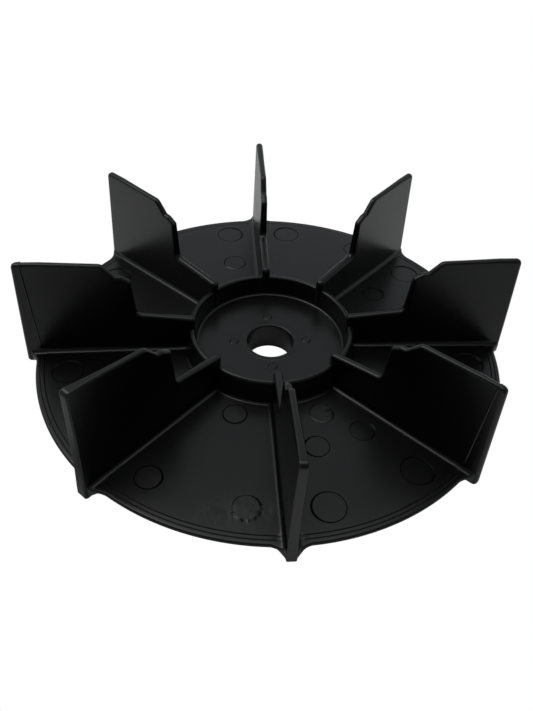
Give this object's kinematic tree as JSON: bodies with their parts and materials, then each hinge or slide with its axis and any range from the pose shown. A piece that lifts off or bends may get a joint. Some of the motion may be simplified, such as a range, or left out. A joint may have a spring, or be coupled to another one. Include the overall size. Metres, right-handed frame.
{
  "type": "blower motor wheel",
  "caption": "Flat-disc fan wheel with straight radial blades, a sunk hub in a raised collar and a plain round bore, pressed on a motor shaft to move air.",
  "frame": {"origin": "centre of the shaft bore at the lower face of the hub boss, which is the lowest face of the wheel", "axes": "+Z along the shaft axis towards the blades' free edges; blade 1 points to -Y and blade 3 to +X, each next blade 45 degrees further counter-clockwise seen from +Z"},
  "size_m": [0.1322, 0.1322, 0.0342],
  "materials": {
    "moulded_plastic": "black, satin, fine moulded texture"
  },
  "bodies": {
    "root": {"back_plate": "moulded_plastic", "hub_collar": "moulded_plastic", "hub_web": "moulded_plastic", "shaft_boss": "moulded_plastic", "vane_1": "moulded_plastic", "vane_2": "moulded_plastic", "vane_3": "moulded_plastic", "vane_4": "moulded_plastic", "vane_5": "moulded_plastic", "vane_6": "moulded_plastic", "vane_7": "moulded_plastic", "vane_8": "moulded_plastic", "rib_1": "moulded_plastic", "rib_2": "moulded_plastic", "rib_3": "moulded_plastic", "rib_4": "moulded_plastic", "rib_5": "moulded_plastic", "rib_6": "moulded_plastic", "rib_7": "moulded_plastic", "rib_8": "moulded_plastic"}
  },
  "joints": []
}
